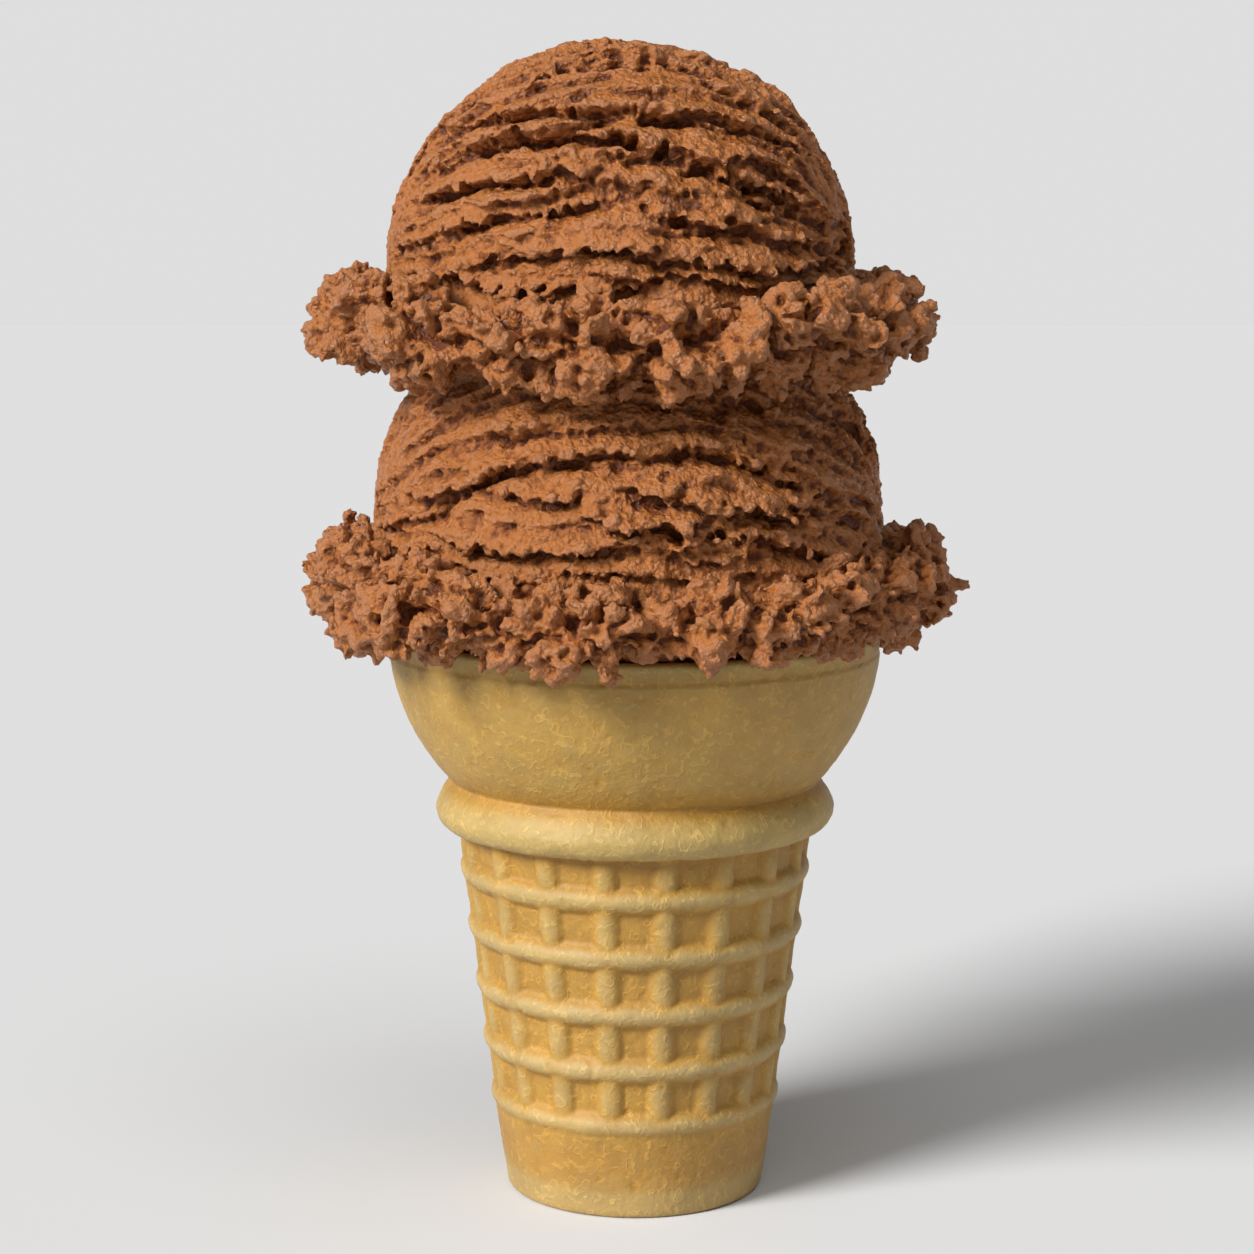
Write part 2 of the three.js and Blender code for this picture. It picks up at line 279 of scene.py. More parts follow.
def skin_faces(rows, columns, ends_closed):
    """Quads between rows of points. The rows' ends close on themselves or on two end points."""
    r = np.arange(rows if not ends_closed else rows - 1)[:, None]
    c = np.arange(columns)[None, :]
    below, above = r * columns, ((r + 1) % rows) * columns
    right = (c + 1) % columns
    quads = np.stack([below + c, below + right, above + right, above + c], -1)
    faces = quads.reshape(-1, 4).tolist()
    if ends_closed:
        first, last = rows * columns, rows * columns + 1
        top = (rows - 1) * columns
        for n in range(columns):
            m = (n + 1) % columns
            faces.append((first, m, n))
            faces.append((top + n, top + m, last))
    return faces


def ring_crest(z):
    """Radius of the rings' crests at a height: the stem widens upwards."""
    return RING_FIRST_RADIUS + RING_TAPER * (z - RING_FIRST_Z)


def bowl_radius(z, inset=0.0):
    """Radius of the bowl's round side at a height, or of a surface inside it."""
    arc = BOWL_ARC_RADIUS - inset
    return BOWL_ARC_OFFSET + np.sqrt(np.maximum(arc**2 - (z - BOWL_ARC_Z) ** 2, 0))


def grid_radius(z, angle):
    """The stem's outside between the plain band and the bead: rings and ribs over panels."""
    ring_z = RING_FIRST_Z + RING_PITCH * np.clip(
        np.round((z - RING_FIRST_Z) / RING_PITCH), 0, GRID_RINGS - 1
    )
    ring = ring_height(z - ring_z, RING_HALF)
    pitch = 2 * math.pi / RIB_COUNT
    from_rib = np.abs((angle / pitch) % 1 - 0.5) * pitch * ring_crest(z)
    rib = bar_height(from_rib, RIB_HALF) * (z > RING_FIRST_Z)
    raised = np.maximum(ring * PANEL_BELOW_RING, rib * (PANEL_BELOW_RING - RIB_BELOW_RING))
    return ring_crest(z) - PANEL_BELOW_RING + raised


def cup_outside():
    """Heights and radii up the cup's outside, for every column."""
    angle = np.arange(CUP_COLUMNS)[None, :] * 2 * math.pi / CUP_COLUMNS
    # The rows are closest together where the outline turns most.
    levels = np.concatenate(
        [
            np.linspace(FOOT_EDGE, BAND_TOP - 0.8, 16, endpoint=False),
            np.linspace(BAND_TOP - 0.8, BEAD_BOTTOM_Z + 0.3, 118, endpoint=False),
            np.linspace(BEAD_BOTTOM_Z + 0.3, BEAD_TOP_Z - 0.3, 28, endpoint=False),
            np.linspace(BEAD_TOP_Z - 0.3, RIM_LINE_Z - 0.5, 28, endpoint=False),
            np.linspace(RIM_LINE_Z - 0.5, RIM_LINE_Z + 0.5, 8, endpoint=False),
            np.linspace(RIM_LINE_Z + 0.5, CUP_HEIGHT - RIM_ROUND, 5),
        ]
    )
    z = levels[:, None] + 0 * angle
    band = FOOT_RADIUS + 0.25 + BAND_TAPER * z
    grid = grid_radius(z, angle)
    stem = np.where(z < RING_FIRST_Z, np.maximum(band, grid), grid)

    low = np.clip((BEAD_Z - z) / (BEAD_Z - BEAD_BOTTOM_Z), 0, 1)
    high = np.clip((z - BEAD_Z) / (BEAD_TOP_Z - BEAD_Z), 0, 1)
    bead_low = BEAD_BOTTOM_RADIUS + (BEAD_RADIUS - BEAD_BOTTOM_RADIUS) * np.sqrt(1 - low**2)
    bead_high = BEAD_RADIUS - (BEAD_RADIUS - BEAD_TOP_RADIUS) * high**1.5
    bead = np.where(z < BEAD_Z, bead_low, bead_high)
    bowl = bowl_radius(z) - RIM_BAND_INSET * smooth_step(RIM_LINE_Z, 0.4, z)
    upper = np.where(z > BEAD_Z, np.maximum(bead, bowl), bead)
    radius = np.where(z < BEAD_BOTTOM_Z, stem, np.maximum(upper, np.where(z < BEAD_Z, stem, 0)))
    return z, radius


def cup_rows():
    """All rows of the shell, from the foot up the outside, over the rim and down the inside."""
    z, radius = cup_outside()
    flat = np.ones(CUP_COLUMNS)
    # The flat underside and the foot's rounded edge.
    rows = [
        (0.0 * flat, 0.6 * FOOT_RADIUS * flat),
        (0.0 * flat, (FOOT_RADIUS - 0.35) * flat),
        (0.06 * flat, (FOOT_RADIUS - 0.08) * flat),
        (0.22 * flat, (FOOT_RADIUS + 0.15) * flat),
    ]
    rows += list(zip(z, radius))
    rim = float(radius[-1].mean())
    inner = rim - WALL + 0.1  # the rim is a little thinner than the wall
    middle, half = (rim + inner) / 2, (rim - inner) / 2
    for turn in np.radians([30, 60, 90, 120, 150]):
        level = CUP_HEIGHT - RIM_ROUND + RIM_ROUND * math.sin(turn)
        rows.append((level * flat, (middle + half * math.cos(turn)) * flat))
    for level in np.linspace(CUP_HEIGHT - RIM_ROUND, LEDGE_Z + 0.5, 12):
        rows.append((level * flat, bowl_radius(min(level, RIM_LINE_Z), WALL) * flat))
    stem_inset = PANEL_BELOW_RING + WALL
    for level in (LEDGE_Z - 4, 30.0, STEM_FLOOR):
        rows.append((level * flat, (ring_crest(level) - stem_inset) * flat))
    return rows


def build_cup():
    """The shell, made slightly uneven and pitted all over but for its foot."""
    angle = np.arange(CUP_COLUMNS) * 2 * math.pi / CUP_COLUMNS - math.pi / 2
    rows = cup_rows()
    points = np.array(
        [np.stack([r * np.cos(angle), r * np.sin(angle), z], -1) for z, r in rows]
    )
    ends = np.array([[0, 0, 0], [0, 0, STEM_FLOOR]])
    mesh = bpy.data.meshes.new("wafer")
    faces = skin_faces(len(rows), CUP_COLUMNS, True)
    mesh.from_pydata(np.concatenate([points.reshape(-1, 3), ends]).tolist(), [], faces)
    smooth = read_points(mesh)
    dents = 0.08 * noise(smooth / 2.6) + 0.05 * noise(smooth / 0.9 + 40)
    pits = 0.6 * np.clip(noise(smooth / 1.1 + 90) - 0.62, 0, 1)
    uneven = dents - pits
    standing = np.clip(smooth[:, 2] / 2, 0, 1)
    write_points(mesh, smooth + read_normals(mesh) * (uneven * standing)[:, None])
    mark_relief(mesh)
    mesh.transform(Matrix.Scale(MM, 4))
    mesh.shade_smooth()
    cup = bpy.data.objects.new("wafer", mesh)
    scene.collection.objects.link(cup)
    return cup


def add_range(nodes, from_min, from_max, to_min=0.0, to_max=1.0):
    """A node that turns one range of numbers into another and stays within it."""
    node = nodes.new("ShaderNodeMapRange")
    node.inputs["From Min"].default_value = from_min
    node.inputs["From Max"].default_value = from_max
    node.inputs["To Min"].default_value = to_min
    node.inputs["To Max"].default_value = to_max
    return node


def add_math(nodes, operation, number=None):
    """A node that does one sum, with a fixed second number where one is given."""
    node = nodes.new("ShaderNodeMath")
    node.operation = operation
    if number is not None:
        node.inputs[1].default_value = number
    return node


def add_noise(nodes, scale, detail):
    """A node for soft random patches, as many to the metre as the scale says."""
    node = nodes.new("ShaderNodeTexNoise")
    node.inputs["Scale"].default_value = scale
    node.inputs["Detail"].default_value = detail
    return node


def add_tint(nodes, colour):
    """A node that multiplies another colour by this one."""
    node = nodes.new("ShaderNodeMix")
    node.data_type = "RGBA"
    node.blend_type = "MULTIPLY"
    node.inputs["B"].default_value = colour
    return node


def add_ramp(nodes, crease, face, crest, face_at):
    """A node that goes from the creases' painted shade over the plain face's colour to the crests'
    painted highlight.
    """
    node = nodes.new("ShaderNodeValToRGB")
    node.color_ramp.elements[0].color = crease
    node.color_ramp.elements[1].color = crest
    middle = node.color_ramp.elements.new(face_at)
    middle.color = face
    return node


def add_bump(nodes, depth):
    """A node for fine relief of a depth in metres."""
    node = nodes.new("ShaderNodeBump")
    node.inputs["Strength"].default_value = 1.0
    node.inputs["Distance"].default_value = depth
    return node


def baked_wafer():
    """Pale tan wafer with the fine swirls of the batter, a painted highlight on its crests and painted
    shade in its corners.
    """
    wafer = bpy.data.materials.new("baked_wafer")
    wafer.use_nodes = True
    nodes, links = wafer.node_tree.nodes, wafer.node_tree.links
    shader = nodes["Principled BSDF"]
    place = nodes.new("ShaderNodeTexCoord")
    height = nodes.new("ShaderNodeSeparateXYZ")
    links.new(place.outputs["Object"], height.inputs[0])

    # Painted shade in the creases and a painted highlight on the crests, both from the relief, and a
    # painted highlight all along the bead.
    relief = nodes.new("ShaderNodeAttribute")
    relief.attribute_name = "relief"
    standing = add_range(nodes, -0.4, 0.4)
    off_bead = add_math(nodes, "SUBTRACT", BEAD_Z * MM)
    either_way = add_math(nodes, "ABSOLUTE")
    bead_highlight = add_range(nodes, BEAD_HIGHLIGHT_HALF * MM, BEAD_HIGHLIGHT_REACH * MM, to_min=BEAD_HIGHLIGHT, to_max=0)
    painted_light = add_math(nodes, "ADD")
    tint = add_ramp(nodes, WAFER_CREASE_SHADE, WAFER_FACE, WAFER_CREST_HIGHLIGHT, 0.5)
    links.new(height.outputs["Z"], off_bead.inputs[0])
    links.new(off_bead.outputs["Value"], either_way.inputs[0])
    links.new(either_way.outputs["Value"], bead_highlight.inputs["Value"])
    links.new(relief.outputs["Fac"], standing.inputs["Value"])
    links.new(standing.outputs["Result"], painted_light.inputs[0])
    links.new(bead_highlight.outputs["Result"], painted_light.inputs[1])
    links.new(painted_light.outputs["Value"], tint.inputs["Fac"])

    # Yellower up the bowl and browner down the foot.
    up_bowl = add_range(nodes, BOWL_TINT_FROM * MM, BOWL_TINT_TO * MM)
    yellower = add_tint(nodes, BOWL_TINT)
    down_foot = add_range(nodes, (BAND_TOP + 0.8) * MM, (BAND_TOP - 0.6) * MM)
    browner = add_tint(nodes, FOOT_TINT)
    links.new(height.outputs["Z"], up_bowl.inputs["Value"])
    links.new(up_bowl.outputs["Result"], yellower.inputs["Factor"])
    links.new(tint.outputs["Color"], yellower.inputs["A"])
    links.new(height.outputs["Z"], down_foot.inputs["Value"])
    links.new(down_foot.outputs["Result"], browner.inputs["Factor"])
    links.new(yellower.outputs["Result"], browner.inputs["A"])

    # The batter's strokes: thin lines along the levels of a smooth noise, broken up by a finer one.
    flow = add_noise(nodes, scale=450, detail=2)
    turns = add_math(nodes, "MULTIPLY", 34)
    swirls = add_math(nodes, "SINE")
    lines = add_range(nodes, 0.2, 1.0)
    breaks = add_noise(nodes, scale=900, detail=1)
    kept = add_range(nodes, 0.42, 0.6, to_min=0.2)
    strokes = add_math(nodes, "MULTIPLY")
    links.new(place.outputs["Object"], flow.inputs["Vector"])
    links.new(place.outputs["Object"], breaks.inputs["Vector"])
    links.new(flow.outputs["Fac"], turns.inputs[0])
    links.new(turns.outputs["Value"], swirls.inputs[0])
    links.new(swirls.outputs["Value"], lines.inputs["Value"])
    links.new(breaks.outputs["Fac"], kept.inputs["Value"])
    links.new(lines.outputs["Result"], strokes.inputs[0])
    links.new(kept.outputs["Result"], strokes.inputs[1])

    # Mottled in patches, and lighter along the strokes.
    patches = add_noise(nodes, scale=220, detail=5)
    uneven = add_range(nodes, 0.3, 0.7, to_min=0.84, to_max=1.04)
    lighter = add_math(nodes, "MULTIPLY_ADD", 0.24)
    mottled = nodes.new("ShaderNodeVectorMath")
    mottled.operation = "SCALE"
    links.new(place.outputs["Object"], patches.inputs["Vector"])
    links.new(patches.outputs["Fac"], uneven.inputs["Value"])
    links.new(strokes.outputs["Value"], lighter.inputs[0])
    links.new(uneven.outputs["Result"], lighter.inputs[2])
    links.new(browner.outputs["Result"], mottled.inputs[0])
    links.new(lighter.outputs["Value"], mottled.inputs["Scale"])
    links.new(mottled.outputs["Vector"], shader.inputs["Base Color"])

    # The strokes and a fine grain stand out a little.
    grain = add_noise(nodes, scale=1500, detail=3)
    surface = add_math(nodes, "MULTIPLY_ADD", 0.38)
    bump = add_bump(nodes, depth=0.1 * MM)
    links.new(place.outputs["Object"], grain.inputs["Vector"])
    links.new(strokes.outputs["Value"], surface.inputs[0])
    links.new(grain.outputs["Fac"], surface.inputs[2])
    links.new(surface.outputs["Value"], bump.inputs["Height"])
    links.new(bump.outputs["Normal"], shader.inputs["Normal"])
    links.new(bump.outputs["Normal"], shader.inputs["Coat Normal"])

    shader.inputs["Roughness"].default_value = 0.7
    shader.inputs["Specular IOR Level"].default_value = 0.5
    shader.inputs["Coat Weight"].default_value = 0.6
    shader.inputs["Coat Roughness"].default_value = 0.62
    return wafer


cup = build_cup()
cup.data.materials.append(baked_wafer())
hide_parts("wafer_cup")
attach(cup, "root")


# ---- Lower scoop ----
# A ball of chocolate ice cream pressed into the cup, and squashed flat on top by the ball above it.
# The metal scoop's edge tears it into layers that run from side to side and lap downwards. What is
# squeezed out round the ball makes a crumbly collar over the rim.

# The ball's middle is at x and z, and width and height go from there to its outside. It is cut flat
# at top, and its underside is at low. The collar's ring is the radius of its middle line, and depth
# goes from there in and out. Its height and half its thickness change from the front to the sides.
LOWER = {
    "name": "lower_scoop",
    "seed": 11,
    "x": -0.95,
    "z": 86.0,
    "width": 32.0,
    "height": 31.8,
    "low": CUP_HEIGHT,
    "top": 105.2,
    "ring": 35.4,
    "depth": 5.2,
    "front_z": 76.9,
    "side_z": 79.0,
    "front_half": 5.0,
    "side_half": 6.9,
}
# Each torn lip: where it starts and ends across the ball, from -1 to 1, its turn up from the front
# in degrees at its left end, middle and right end, and its depth.
LOWER_LIPS = (
    (-0.55, 0.10, 30, 27, 27, 1.5),
    (-0.90, 0.12, 13, 20.5, 20.5, 2.1),
    (0.08, 0.86, 22.5, 22, 14, 2.3),
    (-0.58, -0.10, 14, 12.5, 13, 1.7),
    (-0.14, 0.80, 14, 11, 10, 1.9),
    (-0.26, 0.52, 11, 6, 5.5, 2.1),
    (-0.74, 0.12, 4, 1, 5, 2.3),
    (0.10, 0.58, 2, 1.5, 4, 1.8),
    (-0.34, 0.52, -2.5, -4, -4.5, 2.5),
    (-0.62, -0.36, -8, -8, -7, 1.7),
    (-0.96, -0.66, -6, -4, 0, 1.8),
    (-0.97, -0.62, 5, 10, 14.5, 1.7),
    (0.55, 0.95, 14, 13, 8, 1.7),
    (0.48, 0.86, 2, -1, -7, 1.8),
)
LIP_SWELL = 3.4  # how far a lip's swelling reaches up its layer
CREVICE_REACH = 1.9  # how far the crevice under it reaches down
CREVICE_DEPTH = 1.25
LIP_SWELL_HEIGHT = 0.5
LIP_DROOP = 0.65
TOOTH_PITCH = 0.8  # of the rounded teeth along a lip
FLAKE_LENGTH = 18.0  # from side to side, and how far apart the flakes lap
FLAKE_LAP = 4.3
FLAKE_DEPTH = 1.7
SMALL_FLAKE_LENGTH = 6.0
SMALL_FLAKE_LAP = 2.3
SMALL_FLAKE_DEPTH = 0.7
FRONT_END_TURN = -24  # the layers go from here up the front, over the top and down the back
BACK_END_TURN = 204
MIRRORED_TURNS = 207  # the back's layers mirror the front's: the two turns add up to this
CLOD = 8.0  # across one of the collar's clods, how unevenly they stand out, and the gaps' depth
CLOD_RISE = 2.6
CLOD_GAP = 3.6
SMALL_CLOD = 4.2
SMALL_CLOD_RISE = 2.0
SMALL_CLOD_GAP = 1.9
GAP_LEVEL = -0.7  # of the collar's relief: lower than this is a gap, which gets no crumbs
CRUMB_COUNT = 6500
CRUMB_SPREAD = 0.6180339887  # of a full turn from each crumb to the next, which spreads them evenly
CRUMB_LOW_TURN = -125  # round the collar's section, from its underside over its outside to its top
CRUMB_HIGH_TURN = 160
CRUMB_RADIUS = 0.45  # of the smallest, and how much more the largest has
CRUMB_GROWTH = 0.75
HIDDEN_DEPTH = 2.5  # deeper than this inside the piece next to it, a piece stays plain
SURFACE_STEP = 0.30  # between the points of the ball's grid
VOXEL = 0.28
MOST_TRIANGLES = 195_000
# Painted shade in the creases, the ice cream's plain colour, and painted highlights on what stands out.
CREASE_SHADE_BROWN = (0.12, 0.024, 0.0003, 1)
FACE_BROWN = (0.37, 0.123, 0.023, 1)
CREST_HIGHLIGHT_BROWN = (0.345, 0.133, 0.045, 1)


def spots_near(points, seed):
    """The random spots in and around each point's cell: their cells, and how far away squared."""
    i, j, k = np.moveaxis(np.floor(points).astype(np.int64), -1, 0)
    x, y, z = np.moveaxis(points, -1, 0)
    for n in range(27):
        a, b, c = i + n % 3 - 1, j + n // 3 % 3 - 1, k + n // 9 - 1
        away = (x - a - chance(a, b, c + seed)) ** 2
        away += (y - b - chance(b, c, a + seed)) ** 2
        away += (z - c - chance(c, a, b + seed)) ** 2
        yield a, b, c, away


def lumps(points, seed):
    """Rounded lumps one unit across: 1 on top of a lump, near 0 in the creases between them."""
    nearest = np.ones(points.shape[:-1])
    for *_, away in spots_near(points, seed):
        nearest = np.minimum(nearest, away)
    return 1 - nearest


def clods(points, seed):
    """Torn clods one unit across: each clod's own height from 0 to 1, and how far in from its edge."""
    nearest = np.full(points.shape[:-1], 9.0)
    second = nearest.copy()
    height = np.zeros(nearest.shape)
    for a, b, c, away in spots_near(points, seed):
        closer = away < nearest
        second = np.where(closer, nearest, np.minimum(second, away))
        height = np.where(closer, chance(a + seed, b, c), height)
        nearest = np.where(closer, away, nearest)
    return height, np.sqrt(second) - np.sqrt(nearest)


def stirred(points, reach, across):
    """The points moved about by up to the reach, in swirls of the given size."""
    moves = [noise(points / across + n) for n in (3.3, 17.1, 29.7)]
    return points + reach * np.stack(moves, -1)


def flakes(u, v, seed):
    """Flakes one unit across, lapping towards lower v: about -0.5 at a flake's top, 0.5 at its lip."""
    i, j = np.floor(u).astype(np.int64), np.floor(v).astype(np.int64)
    nearest = np.full(u.shape, 9.0)
    height = np.zeros(u.shape)
    for n in range(9):
        a, b = i + n % 3 - 1, j + n // 3 - 1
        centre_u, centre_v = a + chance(a, b, seed), b + 0.6 * chance(b, a, seed + 7)
        away = (u - centre_u) ** 2 + (v - centre_v) ** 2
        rise = centre_v - v + 0.5 * (chance(a, b, seed + 3) - 0.5)
        height = np.where(away < nearest, rise, height)
        nearest = np.minimum(nearest, away)
    return np.clip(height, -0.7, 0.7)


def lip_line(lip, s):
    """The turn of a lip at s, which goes from 0 at its left end to 1 at its right."""
    left, middle, right = lip[2:5]
    return left * (1 - s) * (1 - 2 * s) + 4 * middle * s * (1 - s) + right * s * (2 * s - 1)


def lip_relief(size, lips, across, turn, waist):
    """Height and downward droop of the torn lips."""
    height = np.zeros(across.shape)
    droop = np.zeros(across.shape)
    place = np.stack([np.arcsin(across), np.radians(turn)], -1) * size["width"]
    for number, lip in enumerate(lips):
        offset = np.full(across.shape + (1,), 37.7 * number + size["seed"])
        ragged = 1 - 3.2 * np.abs(noise(np.concatenate([place / [0.9, 4.5], offset], -1)))
        wavy = noise(np.concatenate([place / 5.0, offset], -1))
        uneven = 0.9 + 0.6 * noise(np.concatenate([place / 3.4, offset + 11], -1))
        start, end, *_, depth = lip
        s = (across - start) / (end - start)
        above = np.radians(turn - lip_line(lip, s)) * size["width"] * waist + 0.28 * ragged + 0.6 * wavy
        window = np.clip(s / 0.2, 0, 1) * np.clip((1 - s) / 0.2, 0, 1)
        window = window * window * (3 - 2 * window)
        amount = depth * uneven * window * np.sqrt(waist)
        swell = LIP_SWELL_HEIGHT * np.exp(-np.maximum(above, 0) / LIP_SWELL)
        crevice = -CREVICE_DEPTH * np.exp(-((np.minimum(above, 0) / CREVICE_REACH) ** 2))
        height += amount * np.where(above > 0, swell, crevice)
        hang = LIP_DROOP * (0.9 + 0.25 * ragged) * np.exp(-np.maximum(above, 0) / 1.3)
        droop += amount * np.where(above > 0, hang, 0)
    return height, droop


def dome_surface(size, lips, across, turn):
    """Points of the scraped ball, from across -1 to 1 and turn in degrees up from the front."""
    # The back mirrors the front, so its layers are worked out at the front's places.
    waist = np.sqrt(1 - across**2)
    back = turn > MIRRORED_TURNS / 2
    seen_turn = np.where(back, MIRRORED_TURNS - turn, turn)
    seen_across = np.where(back, -across, across)
    height, droop = lip_relief(size, lips, seen_across, seen_turn, waist)

    # Places on the surface, in millimetres across and up, stirred where the layers meet at each side.
    u = np.arcsin(np.clip(seen_across, -1, 1)) * size["width"]
    v = np.radians(seen_turn) * size["width"]
    rise = v / size["width"]
    ball = np.stack([seen_across, waist * np.cos(rise), waist * np.sin(rise)], -1)
    swirl = 2.6 * noise(ball * size["width"] / 4.5 + size["seed"]) + noise(ball * size["width"] / 2 + 9)
    v = v + seen_across**4 * swirl / np.maximum(waist, 0.15)

    # Large and small flakes between the lips, lower towards the two sides.
    flat = np.stack([u, v, 91.0 * back + size["seed"] * 13], -1)
    warp = 1 - 3.0 * np.abs(noise(flat / [1.1, 5.0, 1]))
    drift = noise(flat / 9.0)
    busy = 0.85 + 0.5 * noise(flat / 7.0 + 31) + 0.2 * seen_across
    pitch = np.clip(waist / 0.35, 0, 1) * np.maximum(waist, 0.4) ** 0.3
    wander = noise(flat / 3.1 + 5)
    large_v = v + 0.3 * warp + 0.5 * wander + 2 * drift
    small_v = v + 0.25 * warp + 0.6 * wander
    large = flakes((u + 2.5 * drift) / FLAKE_LENGTH, large_v / FLAKE_LAP, size["seed"])
    small = flakes((u + wander) / SMALL_FLAKE_LENGTH, small_v / SMALL_FLAKE_LAP, size["seed"] + 20)
    strength = pitch * busy
    height += strength * (FLAKE_DEPTH * large + SMALL_FLAKE_DEPTH * small)
    droop += strength * (0.6 * np.maximum(large, 0) + 0.45 * np.maximum(small, 0))
    hidden = (turn > BACK_END_TURN) | (turn < FRONT_END_TURN)
    height = np.where(hidden, -1.0, height)
    droop = np.where(hidden, 0, droop)

    down = np.where(back, droop, -droop) / size["width"]
    lean = np.radians(turn) + down / np.maximum(waist, 0.2)
    out = 1 + height / size["width"]
    x = size["x"] + out * across * size["width"]
    y = -out * waist * size["width"] * np.cos(lean)
    z = np.minimum(size["z"] + out * waist * size["height"] * np.sin(lean), size["top"])
    return np.stack([x, y, z], -1)


def dome_shape(size, lips):
    """The scraped ball, gridded round its side-to-side axis so that its rows follow the layers."""
    angle = np.linspace(0, math.pi, int(size["width"] * math.pi / SURFACE_STEP))[1:-1, None]
    layers = np.radians(BACK_END_TURN - FRONT_END_TURN) * size["width"]
    turn = np.concatenate(
        [
            np.linspace(FRONT_END_TURN, BACK_END_TURN, int(layers / SURFACE_STEP)),
            np.linspace(BACK_END_TURN, 360 + FRONT_END_TURN, 40)[1:-1],
        ]
    )[None, :]
    grid = dome_surface(size, lips, -np.cos(angle) + 0 * turn, turn + 0 * angle)
    ends = np.array([[size["x"] + n * size["width"], 0, size["z"]] for n in (-1, 1)])
    return np.concatenate([grid.reshape(-1, 3), ends]), skin_faces(*grid.shape[:2], True)


def collar_relief(size, points):
    """How far the collar's clods stand out, well below 0 in the gaps between them."""
    torn = stirred(stirred(points, 1.6, 4.0), 0.5, 1.3)
    large, large_edge = clods(torn / CLOD, size["seed"])
    small, small_edge = clods(torn / SMALL_CLOD, size["seed"] + 4)
    gaps = CLOD_GAP * np.clip(1 - large_edge / 0.2, 0, 1)
    gaps = gaps + SMALL_CLOD_GAP * np.clip(1 - small_edge / 0.22, 0, 1)
    return CLOD_RISE * (large - 0.5) + SMALL_CLOD_RISE * (small - 0.5) - gaps


def collar_surface(size, angle, turn, out):
    """Points of the collar at an angle round the scoop and a turn round its section, and relief."""
    side = np.cos(angle) ** 2
    ring = size["ring"]
    aside, deep = ring * np.cos(angle), ring * np.sin(angle)
    place = np.stack([aside / 24, deep / 24, size["seed"] + 0 * angle], -1)
    radius = ring + 1.6 * noise(place) + size["depth"] * np.cos(turn)
    middle = size["front_z"] + (size["side_z"] - size["front_z"]) * side
    half = size["front_half"] + (size["side_half"] - size["front_half"]) * side
    z = middle + half * np.sin(turn)
    point = np.stack([radius * np.cos(angle), radius * np.sin(angle), z], -1)
    relief = collar_relief(size, point)
    bump = relief + out
    radius = radius + bump * np.cos(turn)
    points = np.stack(
        [size["x"] + radius * np.cos(angle), radius * np.sin(angle), z + bump * np.sin(turn)], -1
    )
    return points, relief


def collar_shape(size):
    """The torn collar's body: an uneven ring of large lumps, thicker and higher at the two sides."""
    around, section = 720, 120
    angle = np.linspace(0, 2 * math.pi, around, endpoint=False)[None, :]
    turn = np.linspace(0, 2 * math.pi, section, endpoint=False)[:, None]
    grid, _ = collar_surface(size, angle + 0 * turn, turn + 0 * angle, 0.1)
    return grid.reshape(-1, 3), skin_faces(section, around, False)


def core_shape(size):
    """The plain body inside the collar, narrower at its foot."""
    # Heights and radii, from the middle of the underside outwards and up.
    rings = [
        (size["low"], 24.0),
        (size["low"], size["ring"] - 6.5),
        (size["low"] + 2.5, size["ring"] - 1.5),
        (size["low"] + 5, size["ring"] - 1.5),
        (size["z"], size["width"] - 3),
        (size["z"] + 4, size["width"] - 5),
    ]
    sides = 64
    angle = np.linspace(0, 2 * math.pi, sides, endpoint=False)
    grid = np.array(
        [
            np.stack([size["x"] + r * np.cos(angle), r * np.sin(angle), z + 0 * angle], -1)
            for z, r in rings
        ]
    )
    ends = np.array([[size["x"], 0, z] for z, _ in (rings[0], rings[-1])])
    return np.concatenate([grid.reshape(-1, 3), ends]), skin_faces(len(rings), sides, True)


def crumb_shapes(centres, radii, seed):
    """Small torn crumbs at the centres."""
    ball = bmesh.new()
    bmesh.ops.create_icosphere(ball, subdivisions=1, radius=1)
    unit = np.array([v.co[:] for v in ball.verts])
    faces = np.array([[v.index for v in f.verts] for f in ball.faces])
    ball.free()
    count = len(centres)
    number = np.arange(count)
    shift = np.stack([chance(number, axis + 1, seed) * 50 for axis in range(3)], -1)
    squash = np.stack([0.6 + 0.8 * chance(number, axis + 5, seed) for axis in range(3)], -1)
    uneven = 1 + 0.3 * noise(unit[None] * 3.0 + shift[:, None])
    points = centres[:, None] + unit[None] * (uneven[..., None] * (radii[:, None] * squash)[:, None])
    all_faces = (faces[None] + (number * len(unit))[:, None, None]).reshape(-1, 3)
    return points.reshape(-1, 3), all_faces.tolist()


def collar_crumbs(size):
    """Crumbs of all sizes over the collar's clods, but not on its inner side or in its gaps."""
    number = np.arange(CRUMB_COUNT)
    angle = 2 * math.pi * ((number * CRUMB_SPREAD) % 1)
    turns = CRUMB_HIGH_TURN - CRUMB_LOW_TURN
    turn = np.radians(CRUMB_LOW_TURN + turns * chance(number, 3, size["seed"]))
    radii = CRUMB_RADIUS + CRUMB_GROWTH * chance(number, 8, size["seed"]) ** 2
    out = radii * (0.9 * chance(number, 9, size["seed"]) - 0.6)
    centres, relief = collar_surface(size, angle, turn, out)
    standing = relief > GAP_LEVEL
    return crumb_shapes(centres[standing], radii[standing], size["seed"])


